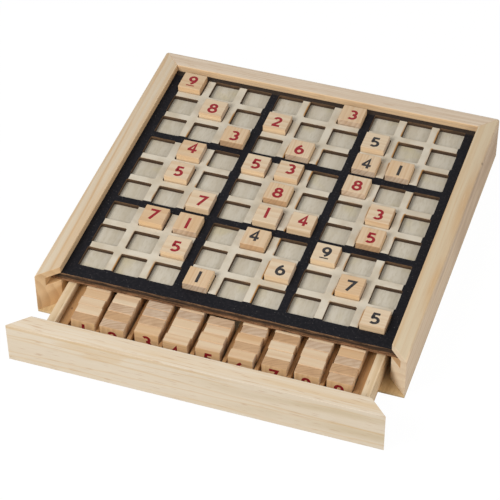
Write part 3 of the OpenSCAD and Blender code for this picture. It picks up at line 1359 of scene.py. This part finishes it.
@dataclass
class GridSheet:
    """The sheet of square cells over the cell floor.

    smoke points to where the smoke of the cutting drifted, and least_rim is what the other side of a
    hole got of it. corner_gather sets how close to a corner of its share an arc's points gather.
    """

    shop: Workshop
    cell: float = 21.2 * MM
    bar: float = 6.4 * MM
    block_bar: float = 6.7 * MM
    hole_radius: float = 1.2 * MM
    edge: float = 0.25 * MM
    rim: float = 1.6 * MM
    print_inset: float = 0.9 * MM
    smoke: Pair = (-0.9, 0.43)
    least_rim: float = 0.15
    corner_gather: float = 0.12
    floor_ease: float = 0.15 * MM
    slack: float = 0.01 * MM
    arc_steps: int = 6
    count: int = 9
    block: int = 3

    def cell_centres(self) -> Array:
        """Where the cells of a row lie, from the sheet's middle."""
        numbers = np.arange(self.count)
        even = (numbers - self.count // 2) * (self.cell + self.bar)
        return even + (numbers // self.block - 1) * (self.block_bar - self.bar)

    def outline(self) -> tuple[Array, Array, Array]:
        """A hole's outline, with the matching places on the border of its share of the sheet.

        Each corner is a quarter of a circle. The border is a unit square, on which the points of an
        arc gather round the corner.

        Returns:
            Points of the outline, its outward normals, and places on the unit square, all (n, 2).
        """
        angle = np.linspace(0, np.pi / 2, self.arc_steps + 1)
        normal = np.stack([np.cos(angle), np.sin(angle)], axis=1)
        arc = normal * self.hole_radius + self.cell / 2 - self.hole_radius
        away = np.clip(1 - normal / normal.max(axis=1, keepdims=True), 0, 1)
        border = 1 - self.corner_gather * away
        turns = [np.array([[1, 0], [0, 1]]), np.array([[0, 1], [-1, 0]])]
        turns += [-turns[0], -turns[1]]
        return tuple(np.concatenate([part @ turn for turn in turns]) for part in (arc, normal, border))

    def limits(self, reach: Array, border: Array, places: Array) -> Array:
        """Finds how far each cell's share of the sheet reaches from the cell's middle.

        It goes half way to the next cell, or to the sheet's own edge beside the outer cells.

        Args:
            reach: Half of the sheet's width and depth.
            border: Places on the unit square, (n, 2).
            places: Each cell's column and row, (cells, 2).

        Returns:
            The reach across and in depth at each place of the border, (cells, n, 2).
        """
        at = self.cell_centres()
        between = (at[1:] - at[:-1]) / 2
        reaches = []
        for axis in range(2):
            below = np.append(reach[axis] + at[0], between)[places[:, axis], None]
            above = np.append(between, reach[axis] - at[-1])[places[:, axis], None]
            reaches.append(np.where(border[None, :, axis] < 0, below, above))
        return np.stack(reaches, axis=2)

    def edge_quads(self, border: Array, places: Array, rings: int) -> Array:
        """Numbers the quads of the sheet's own edge, from the outer cells' lowest to highest ring.

        Args:
            border: Places on the unit square, (n, 2).
            places: Each cell's column and row, (cells, 2).
            rings: Rings of each cell.

        Returns:
            The quads' point indices, (m, 4).
        """
        turns = len(border)
        following = (np.arange(turns) + 1) % turns
        top = (rings - 1) * turns
        sides = []
        for axis in range(2):
            for sign, last in ((-1, 0), (1, self.count - 1)):
                on_side = np.nonzero((border[:, axis] == sign) & (border[following, axis] == sign))[0]
                start = np.nonzero(places[:, axis] == last)[0][:, None] * rings * turns
                corners = [start + on_side, start + top + on_side]
                corners += [start + top + following[on_side], start + following[on_side]]
                sides.append(np.stack(corners, axis=-1).reshape(-1, 4))
        return np.concatenate(sides)

    def surface(self) -> Surface:
        """The whole sheet with its rounded holes.

        For each cell, rings run from the sheet's underside up the hole's wall, over its edge and out
        to half way to the next cell, or to the sheet's own edge beside the outer cells.

        Returns:
            The closed surface, with slot 0 on top, slot 1 on the holes' walls and underneath, and slot 2
            on the sheet's own edge. The rim round a hole is strongest on the side that the smoke went to.
        """
        low, high = node_box("grid_bars_across")
        middle, reach = (low + high)[:2] / 2, (high - low)[:2] / 2
        hole, normal, border = self.outline()
        numbers = np.arange(self.count)
        places = np.stack([part.ravel() for part in np.meshgrid(numbers, numbers)], axis=1)
        cells = self.cell_centres()[places] + middle
        outer = cells[:, None] + border[None] * self.limits(reach, border, places)
        bend = self.edge * (1 - math.sqrt(0.5))
        steps = [(0.0, low[2]), (0.0, high[2] - self.edge), (bend, high[2] - bend)]
        steps += [(self.edge, high[2]), (self.rim, high[2])]
        walls = [(cells[:, None] + hole + normal * out, z) for out, z in steps]
        rings = [(outer, low[2]), *walls, (outer, high[2])]
        points = np.stack([np.dstack([xy, np.full(xy.shape[:2], z)]) for xy, z in rings], axis=1)
        levels, turns = len(rings), len(hole)
        starts = np.arange(len(cells))[:, None, None] * levels * turns
        holes = (quad_grid(levels, turns, loop=True)[None] + starts).reshape(-1, 4)
        sides = self.edge_quads(border, places, levels)
        quads = np.concatenate([holes, sides])
        ring_slots = np.repeat([1, 1, 1, 0, 0, 0], turns)
        slots = np.concatenate([np.tile(ring_slots, len(cells)), np.full(len(sides), 2)])
        rim_by_ring = np.array([0.0, 1.0, 1.0, 1.0, 1.0, 0.0, 0.0])
        drifted = self.least_rim + (1 - self.least_rim) * np.clip(normal @ self.smoke, 0, 1) ** 2
        rim = np.tile((rim_by_ring[:, None] * drifted).ravel(), len(cells))
        points, quads, kept = merged(points.reshape(-1, 3), quads)
        quads, _ = outward(points, quads, [])
        trim = np.stack([np.zeros(len(points)), np.zeros(len(points)), rim[kept]], axis=1)
        return Surface(points, quads, points.copy(), trim, np.zeros(len(quads)), slots)

    def build(self) -> None:
        """Builds and dresses the grid sheet and the cell floor."""
        finishes = "grid_print", "scorched_cut", "upper_sheet_edge"
        sheet = self.shop.make("grid_sheet", [self.surface()], *finishes)
        self.shop.seat(sheet, "case", "grid_sheet", "grid_bars_across", "grid_bars_down")
        low, high = node_box("cell_floor")
        floor = eased_block(low, high, self.floor_ease, along=1)
        faces = np.abs(floor.points[floor.quads].mean(axis=1)[:, 2] - (low + high)[2] / 2)
        sides = faces < (high - low)[2] / 2 - self.slack
        floor.slots = sides.astype(float)
        piece = self.shop.make("cell_floor_sheet", [floor], "cell_floor_sheet", "lower_sheet_edge")
        self.shop.seat(piece, "case", "cell_floor_sheet", "cell_floor")


@dataclass
class Drawer:
    """The drawer that the fourth side of the frame fronts.

    The steps say how far apart in the tree its boards, fillers and dividers were cut, in metres.
    """

    shop: Workshop
    frame: Frame
    dividers: int = 8
    divider: float = 3.0 * MM
    top_edge: float = 0.2 * MM
    foot: float = 0.05 * MM
    wall_ease: float = 0.7 * MM
    strip_ease: float = 0.3 * MM
    board_step: float = 0.31
    filler_step: float = 0.47
    divider_step: float = 0.59

    def build(self) -> None:
        """Builds and dresses the front, the box and the strips between the channels."""
        front_y = node_box("drawer_front")[0][1]
        moulding = replace(self.frame.moulding, top_edge=self.top_edge, foot=self.foot)
        surface = moulding.surface(0.0, 0.0, FRAME_SEEDS[Side.FRONT])
        surface = self.frame.place(surface, Side.FRONT, -front_y)
        piece = self.shop.make("pine_drawer_front", [surface], "pine_front")
        self.shop.seat(piece, "drawer", "pine_moulding", "drawer_front")
        boards = [("left_wall", 1), ("right_wall", 1), ("back_wall", 0), ("bottom", 0)]
        for name, along in boards:
            ease = self.wall_ease if name.endswith("wall") else self.strip_ease
            board = eased_block(*node_box(f"drawer_{name}"), ease, along=along)
            board.grain += [self.board_step * len(name), 0, 0]
            piece = self.shop.make(f"drawer_box_{name}", [board], "drawer_wood")
            self.shop.seat(piece, "drawer", "drawer_wood", f"drawer_{name}")
        for name in ("left_filler", "right_filler"):
            strip = eased_block(*node_box(f"drawer_{name}"), self.strip_ease, along=1)
            strip.grain += [self.filler_step * len(name), 0, 0]
            piece = self.shop.make(f"drawer_{name}_strip", [strip], "divider_wood")
            self.shop.seat(piece, "drawer", "divider_wood", f"drawer_{name}")
        low, high = node_box("drawer_dividers")
        starts = np.linspace(low[0], high[0] - self.divider, self.dividers)
        strips = []
        for number, start in enumerate(starts):
            near, far = [start, *low[1:]], [start + self.divider, *high[1:]]
            strip = eased_block(near, far, self.strip_ease, along=1)
            strip.grain += [self.divider_step * number, 0, 0]
            strips.append(strip)
        piece = self.shop.make("drawer_divider_strips", strips, "divider_wood")
        self.shop.seat(piece, "drawer", "divider_wood", "drawer_dividers")


@dataclass
class TileSet:
    """The numbered tiles, on the board and in the drawer.

    given and added hold the board's rows from the back: the red numbers and the black ones. cuts says
    how each of them was cut, and stack_cuts the same for the stored tiles, from the front. prints says
    which way each number was printed off the middle, as the keys of a number pad lie round its 5. The
    shares say how much of the side colour, which is painted warm light, shows on the narrow sides, and
    between stored tiles.
    """

    shop: Workshop
    numerals: Numerals
    ease: float = 0.55 * MM
    stack_gap: float = 0.15 * MM
    stack_shift: float = 0.7 * MM
    stack_sink: float = 0.6 * MM
    lane: float = 25.0 * MM
    lane_play: float = 1.15 * MM
    middle_lane: int = 5
    board_sidelight_share: float = 0.4
    stored_sidelight_share: float = 0.9
    seam_sidelight_share: float = 0.3
    stored_tone: float = 0.16
    tone_spread: float = 0.24
    first_seed: float = 0.05
    seed_span: float = 3.0
    print_step: Pair = (0.9 * MM, 1.3 * MM)
    given: tuple[str, ...] = (
        "9....3...",
        ".8.2.....",
        "..3.6....",
        ".4.53.8..",
        ".5..8..3.",
        "..7.14.5.",
        ".71......",
        "..5......",
        ".........",
    )
    added: tuple[str, ...] = (
        ".........",
        "......5..",
        "......41.",
        ".........",
        ".........",
        ".........",
        "....4.9..",
        ".....6.7.",
        "...1....5",
    )
    cuts: tuple[str, ...] = (
        "t....u...",
        ".p.p..p..",
        "..u.u.uu.",
        ".t.pp.u..",
        ".p..u..p.",
        "..p.pp.d.",
        ".ad.u.p..",
        "..p..p.a.",
        "...d....p",
    )
    prints: tuple[str, ...] = (
        "5....3...",
        ".2.2..2..",
        "..2.2.32.",
        ".9.29.3..",
        ".2..2..1.",
        "..3.79.2.",
        ".42.7.5..",
        "..2..3.2.",
        "...5....2",
    )
    stack_cuts: tuple[str, ...] = (
        "uppap",
        "uuupptpu",
        "auuua",
        "pppup",
        "ptpu",
        "tuaupta",
        "uppupa",
        "uppupt",
        "uuuapta",
    )
    seed: int = 9

    def off_middle(self, key: str) -> Array:
        """How far a number lies off the middle, to the right and up, for a key of a number pad."""
        number = int(key) - 1
        return np.array([number % 3 - 1, number // 3 - 1]) * self.print_step

    def tile(
        self, low: Array, high: Array, facing: Facing, digit: int, cut: Cut, luck: Array, off: Array
    ) -> list[Surface]:
        """One tile with its number.

        Args:
            low: Lowest corner of its solid.
            high: Highest corner.
            facing: Which way the number faces.
            digit: The number.
            cut: How the wood was cut.
            luck: Three random numbers from 0 to 1.
            off: How far the number lies off the middle, to the right and up.

        Returns:
            The tile's block and its number's ribbons, in place.
        """
        on_board = facing is Facing.UP
        # The number's own upward direction lies along the other of the two axes
        up_axis = (Facing.FRONT if on_board else Facing.UP).value
        block = eased_block(low, high, self.ease, along=up_axis if cut.upright else 0)
        tone = CUT_TONES[cut] + (0.0 if on_board else self.stored_tone)
        seed = self.first_seed + self.seed_span * luck[2]
        block.lot = (tone + self.tone_spread * (luck[0] - 0.5), luck[1], seed)
        middle, half = (low + high) / 2, (high - low) / 2
        # Painted warm light: the side colour goes on the narrow sides, or on a stored tile's front and
        # back
        sides, share = ([0, 1], self.board_sidelight_share) if on_board else ([1], self.stored_sidelight_share)
        flush = np.isclose(np.abs(block.points - middle), half)
        block.trim[:, 2] = share * flush[:, sides].any(axis=1)
        marks = self.numerals.surfaces(digit)
        for mark in marks:
            across, up, out = (mark.points + [*off, 0.0]).T
            if on_board:
                mark.points = middle + np.stack([across, up, out + half[2]], axis=1)
            else:
                mark.points = middle + np.stack([across, -out - half[1], up], axis=1)
        return [block, *marks]

    def build_board(self, rng: np.random.Generator) -> None:
        """Builds and dresses each tile that lies on the board.

        Args:
            rng: Source of each tile's small differences.
        """
        for row in DIGITS:
            for column in DIGITS:
                red, black = self.given[row - 1][column - 1], self.added[row - 1][column - 1]
                if red == black:
                    continue
                ink = Ink.RED if red != "." else Ink.BLACK
                node = f"tile_r{row}c{column}"
                digit = int(red if ink is Ink.RED else black)
                cut = Cut(self.cuts[row - 1][column - 1])
                off = self.off_middle(self.prints[row - 1][column - 1])
                tile = self.tile(*node_box(node), Facing.UP, digit, cut, rng.random(3), off)
                piece = self.shop.make(f"number_{node}", tile, "tile_wood", ink.value)
                self.shop.seat(piece, node, "tile_wood", node)

    def build_stacks(self, rng: np.random.Generator) -> None:
        """Builds and dresses each stack of stored tiles.

        Args:
            rng: Source of each tile's small differences.
        """
        for digit, cuts in zip(DIGITS, self.stack_cuts):
            node = f"stack_{digit}"
            low, high = node_box(node)
            pitch = (high[1] - low[1] + self.stack_gap) / len(cuts)
            lies = (low + high)[0] / 2 - (digit - self.middle_lane) * self.lane
            tiles = []
            for number, cut in enumerate(cuts):
                luck = rng.random(7)
                wanted = lies + self.stack_shift * (2 * luck[3] - 1)
                moved = np.clip(wanted, -self.lane_play, self.lane_play)
                start = low + [moved - lies, number * pitch, 0]
                end = high + [moved - lies, 0, -self.stack_sink * luck[4]]
                end[1] = start[1] + pitch - self.stack_gap
                off = (luck[5:] - 0.5) * self.print_step
                tile = self.tile(start, end, Facing.FRONT, digit, Cut(cut), luck[:3], off)
                # Less of the painted warm light on the faces between stored tiles
                tile[0].trim[:, 2] *= self.seam_sidelight_share if number else 1.0
                tiles += tile
            piece = self.shop.make(f"stored_tiles_{digit}", tiles, "tile_wood", Ink.RED.value)
            self.shop.seat(piece, "drawer", "tile_wood", node)

    def build(self) -> None:
        """Builds and dresses all the tiles, in a fixed order."""
        rng = np.random.default_rng(self.seed)
        self.build_board(rng)
        self.build_stacks(rng)


# Studio


@dataclass(frozen=True)
class Lamp:
    """A broad soft lamp: its place in metres, the side of its square and its power in watts."""

    name: str
    place: Triple
    size: float
    power: float
    colour: Triple = (1.0, 0.985, 0.96)


@dataclass
class Studio:
    """The floor, the lamps, the white surroundings and the camera."""

    eye: Triple = (363.1 * MM, -1138.2 * MM, 1096.9 * MM)
    target: Triple = (-1.8 * MM, -61.1 * MM, 31.4 * MM)
    roll: float = math.radians(-0.385)
    lens: float = 146.36
    sensor: float = 36.0
    sight: Pair = (0.01, 50.0)
    floor_half: float = 6.0
    floor_drop: float = 0.05 * MM
    floor_colour: Colour = paint(186, 186, 185)
    floor_glow: float = 0.93
    glow_strength: float = 1.05
    surround: float = 0.32
    lamps: tuple[Lamp, ...] = (
        Lamp("key", (-0.80, -1.17, 1.25), 0.85, 26.0),
        Lamp("fill", (1.3, -0.55, 0.6), 0.7, 7.1),
    )

    def seen(self, bench: Bench) -> Socket:
        """1 where a ray comes from the camera or a mirror or through glass, and 0 for other light."""
        light = bench.add("ShaderNodeLightPath").outputs
        direct = bench.math("MAXIMUM", light["Is Camera Ray"], light["Is Glossy Ray"])
        return bench.math("MAXIMUM", direct, light["Is Transmission Ray"])

    def floor(self) -> None:
        """Lays a plain white floor that shows a faint shadow."""
        half = self.floor_half
        mesh = bpy.data.meshes.new("floor")
        corners = [(-half, -half), (half, -half), (half, half), (-half, half)]
        mesh.from_pydata([(*corner, -self.floor_drop) for corner in corners], [], [(0, 1, 2, 3)])
        material = bpy.data.materials.new("floor_white")
        material.use_nodes = True
        bench = Bench(material.node_tree)
        plain = bench.add("ShaderNodeBsdfDiffuse", {"Color": self.floor_colour})
        glow = bench.add("ShaderNodeEmission", {"Color": WHITE, "Strength": self.glow_strength})
        share = bench.math("MULTIPLY", self.seen(bench), self.floor_glow)
        mixed = bench.add("ShaderNodeMixShader", {0: share, 1: plain.outputs[0], 2: glow.outputs[0]})
        bench.add("ShaderNodeOutputMaterial", {"Surface": mixed.outputs[0]})
        mesh.materials.append(material)
        piece = bpy.data.objects.new("floor", mesh)
        bpy.context.scene.collection.objects.link(piece)

    def surroundings(self) -> None:
        """Sets even light from all round, which looks white where it is seen directly."""
        world = bpy.data.worlds.new("white_room")
        world.use_nodes = True
        bench = Bench(world.node_tree)
        strength = bench.math("MULTIPLY_ADD", self.seen(bench), 1.0 - self.surround, self.surround)
        sky = bench.add("ShaderNodeBackground", {"Color": WHITE, "Strength": strength})
        bench.add("ShaderNodeOutputWorld", {"Surface": sky.outputs[0]})
        bpy.context.scene.world = world

    def hang(self, lamp: Lamp) -> None:
        """Hangs one lamp, turned to the board."""
        light = bpy.data.lights.new(lamp.name, "AREA")
        light.size, light.energy, light.color = lamp.size, lamp.power, lamp.colour
        piece = bpy.data.objects.new(lamp.name, light)
        piece.location = lamp.place
        piece.rotation_euler = (-Vector(lamp.place)).to_track_quat("-Z", "Y").to_euler()
        bpy.context.scene.collection.objects.link(piece)

    def camera(self) -> None:
        """Sets the camera at the photograph's viewing angle."""
        data = bpy.data.cameras.new("camera")
        data.sensor_width, data.lens = self.sensor, self.lens
        data.clip_start, data.clip_end = self.sight
        camera = bpy.data.objects.new("camera", data)
        forward = Vector(self.target) - Vector(self.eye)
        turn = forward.to_track_quat("-Z", "Y").to_matrix() @ Matrix.Rotation(self.roll, 3, "Z")
        camera.matrix_world = Matrix.Translation(self.eye) @ turn.to_4x4()
        bpy.context.scene.collection.objects.link(camera)
        bpy.context.scene.camera = camera

    def build(self) -> None:
        """Sets up the whole studio."""
        self.floor()
        self.surroundings()
        for lamp in self.lamps:
            self.hang(lamp)
        self.camera()
        bpy.context.scene.view_settings.view_transform = "Standard"


# The board's own finishes and sizes


def frame_finishes() -> list[Finish]:
    """The pine of each side of the frame, with the streaks that show on it.

    Returns:
        The finishes of the left, right and back rails and of the drawer's front.
    """
    rust = paint(190, 150, 104)
    left = WoodFinish(
        "pine_left",
        pale=paint(213, 203, 185), streak=paint(203, 174, 138), grey=paint(203, 190, 171),
        end=paint(247, 212, 165), end_ring=paint(222, 182, 136), inner=paint(212, 166, 112),
        ring_width=5 * MM, pith=(0.0, -0.032, 0.008), seed=FRAME_SEEDS[Side.LEFT],
        bands=(
            Band(6.0 * MM, -0.024, 1.5 * MM, 0.7, colour=rust),
            Band(13.4 * MM, -0.004, 2.4 * MM, 0.6),
            Band(1.2 * MM, 0.0, 1.5 * MM, 0.4, colour=rust),
            Band(10.5 * MM, 0.0, 3.5 * MM, 0.7, -1.0, -40 * MM),
        ),
    )
    mauve, outer_back_shade = paint(160, 128, 102), paint(173, 139, 106)
    right = WoodFinish(
        "pine_right",
        pale=paint(214, 196, 165), streak=paint(202, 163, 113), grey=paint(205, 186, 157),
        end=paint(230, 212, 186), end_ring=paint(219, 197, 168),
        inner=paint(212, 172, 122), outer=paint(222, 196, 168),
        ring_width=5 * MM, pith=(0.0, -0.05, -0.04), seed=FRAME_SEEDS[Side.RIGHT],
        bands=(
            Band(2.8 * MM, 0.0, 5.5 * MM, 0.9, -85 * MM, 65 * MM),
            Band(1.0 * MM, 0.0, 1.6 * MM, 0.5),
            Band(8.6 * MM, 0.012, 1.0 * MM, 0.5),
            Band(14.2 * MM, 0.01, 1.2 * MM, 0.7),
            # Painted shade: the outer face darkens towards the back end, where less light reaches it
            Band(-22 * MM, 0.0, 34 * MM, 1.0, 10 * MM, 1.0, outer_back_shade),
            Band(-5 * MM, 0.03, 4.5 * MM, 0.9, -60 * MM, 95 * MM, mauve),
        ),
        knots=((86 * MM, 0.5 * MM, 35 * MM, 1.6 * MM),),
    )
    ash = paint(186, 162, 138)
    lines = ((2.6, 0.003), (4.8, -0.004), (7.2, 0.005), (9.4, -0.003), (11.8, 0.004))
    fine = Band(0.0, 0.0, 0.6 * MM, 0.75, colour=ash, sway=0.5 * MM)
    back = WoodFinish(
        "pine_back",
        pale=paint(230, 217, 199), streak=paint(200, 175, 151), grey=paint(217, 203, 185),
        end=paint(220, 182, 138), end_ring=paint(182, 140, 100), inner=paint(224, 190, 144),
        ring_width=2.6 * MM, pith=(0.0, -0.03, -0.06), seed=FRAME_SEEDS[Side.BACK],
        bands=tuple(replace(fine, across=at * MM, drift=drift) for at, drift in lines),
        streak_share=0.65,
    )
    olive, honey = paint(202, 187, 155), paint(213, 183, 134)
    front = WoodFinish(
        "pine_front",
        pale=paint(229, 220, 203), streak=paint(217, 193, 157), grey=paint(222, 212, 194),
        end=paint(220, 182, 138), end_ring=paint(182, 140, 100),
        ring_width=6.0 * MM, pith=(0.0, -0.12, 0.05), seed=FRAME_SEEDS[Side.FRONT],
        bands=(
            Band(2.2 * MM, 0.004, 0.8 * MM, 0.6),
            Band(5.5 * MM, -0.006, 0.7 * MM, 0.5),
            Band(9.5 * MM, 0.01, 0.6 * MM, 0.4),
            Band(13 * MM, 0.004, 1.5 * MM, 0.5),
            Band(7 * MM, 0.0, 5 * MM, 0.45, -60 * MM, 1.0, honey),
            Band(-2 * MM, 0.0, 1.8 * MM, 0.7, -1.0, 40 * MM, honey),
            Band(-7 * MM, 0.02, 1.0 * MM, 0.6, colour=honey, sway=3 * MM),
            Band(-16 * MM, -0.03, 1.4 * MM, 0.6, colour=honey, sway=3 * MM),
            Band(-23 * MM, 0.025, 1.0 * MM, 0.6, colour=honey, sway=3.5 * MM),
            Band(-31 * MM, 0.0, 1.2 * MM, 0.5, colour=honey, sway=3 * MM),
            Band(-12 * MM, 0.04, 6 * MM, 0.7, 10 * MM, 1.0, olive),
            Band(-28 * MM, 0.03, 7 * MM, 0.7, 30 * MM, 1.0, olive),
        ),
        wander=22 * MM, dash_share=0.5,
    )
    return [left, right, back, front]


def drawer_finishes() -> list[Finish]:
    """The drawer's own woods.

    Returns:
        The finishes of its box, and of the strips between its channels.
    """
    brown = paint(150, 112, 72)
    box = WoodFinish(
        "drawer_wood",
        pale=paint(227, 205, 172), streak=paint(200, 168, 125), grey=paint(217, 193, 158),
        end=paint(196, 156, 110), end_ring=paint(122, 88, 56),
        ring_width=4 * MM, pith=(0.0, -0.04, -0.05),
    )
    strips = WoodFinish(
        "divider_wood",
        pale=paint(192, 148, 100), streak=brown, grey=paint(178, 134, 90),
        end=brown, end_ring=paint(96, 66, 42),
        ring_width=3 * MM, pith=(0.0, 0.03, -0.05), knots=((5.155, 6 * MM, 0.0, 1.3 * MM),),
    )
    return [box, strips]


def tile_finishes() -> list[Finish]:
    """The tiles' wood and both inks."""
    red = InkFinish(Ink.RED.value, full=paint(146, 18, 32), worn=paint(170, 70, 68))
    black = InkFinish(Ink.BLACK.value, full=paint(34, 32, 34), worn=paint(90, 80, 74))
    return [TileFinish("tile_wood"), red, black]


def sheet_finishes(grid: GridSheet) -> list[Finish]:
    """The finishes of the three sheets and their cut edges.

    Args:
        grid: The grid, whose sizes set the print.

    Returns:
        The print, the cuts, the sheets' own edges, the cell floor and the base.
    """
    low, high = node_box("grid_bars_across")
    middle, top = (low + high) / 2, high[2]
    at = grid.cell_centres()
    block_half = at[5] + grid.cell / 2 - grid.print_inset
    char = paint(72, 57, 45)
    return [
        PrintFinish("grid_print", (middle[0], middle[1]), block_half, block_pitch=at[7]),
        CutEdgeFinish(
            "scorched_cut", upper=paint(114, 88, 64), lower=char, shade=char, top=top, fade=2.2 * MM
        ),
        # Painted shade: the upper sheet's edge darkens towards its joint with the floor sheet, over the
        # char of the cut
        CutEdgeFinish(
            "upper_sheet_edge",
            upper=paint(142, 110, 82), lower=paint(68, 54, 45), shade=paint(42, 34, 28),
            top=top, fade=2.2 * MM, layer_share=0.9,
        ),
        # Painted shade: the floor sheet's edge is darker along its top, in the joint under the upper
        # sheet, and lighter below
        CutEdgeFinish(
            "lower_sheet_edge",
            upper=paint(98, 75, 56), lower=paint(150, 112, 82), shade=paint(62, 45, 33),
            top=node_box("cell_floor")[1][2], fade=2.4 * MM, layer_share=0.9,
        ),
        SheetFinish(
            "cell_floor_sheet",
            base=paint(212, 204, 188), shade=paint(202, 192, 174), tint=paint(186, 175, 152),
            stain=paint(204, 190, 148),
        ),
        SheetFinish(
            "base_sheet",
            base=paint(212, 186, 142), shade=paint(200, 170, 124), tint=paint(180, 146, 102),
        ),
    ]


def frame_moulding() -> Moulding:
    """The moulding's sizes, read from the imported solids."""
    base_low, base_high = node_box("base_panel")
    rail_low, rail_high = node_box("left_rail")
    sheet_low, sheet_high = node_box("grid_bars_across")
    sheet_play = 0.3 * MM
    groove_play = 0.1 * MM
    return Moulding(
        half=(base_high[0] - base_low[0]) / 2,
        width=rail_high[0] - rail_low[0],
        ledge=node_box("cell_floor")[0][2] - rail_low[2],
        groove_top=sheet_high[2] - rail_low[2] + groove_play,
        height=rail_high[2] - rail_low[2],
        groove=rail_high[0] - sheet_low[0] + sheet_play,
    )


def main() -> None:
    logging.basicConfig(level=logging.INFO, format="%(message)s")
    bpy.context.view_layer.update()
    shop = Workshop(Groups(grain_group(), speck_group()))
    grid = GridSheet(shop)
    for finish in (*frame_finishes(), *drawer_finishes(), *tile_finishes(), *sheet_finishes(grid)):
        shop.add(finish)
    case = Frame(shop, frame_moulding())
    for assembly in (case, grid, Drawer(shop, case), TileSet(shop, Numerals()), Studio()):
        assembly.build()
        LOG.info("%s is built", type(assembly).__name__)


if __name__ == "__main__":
    main()
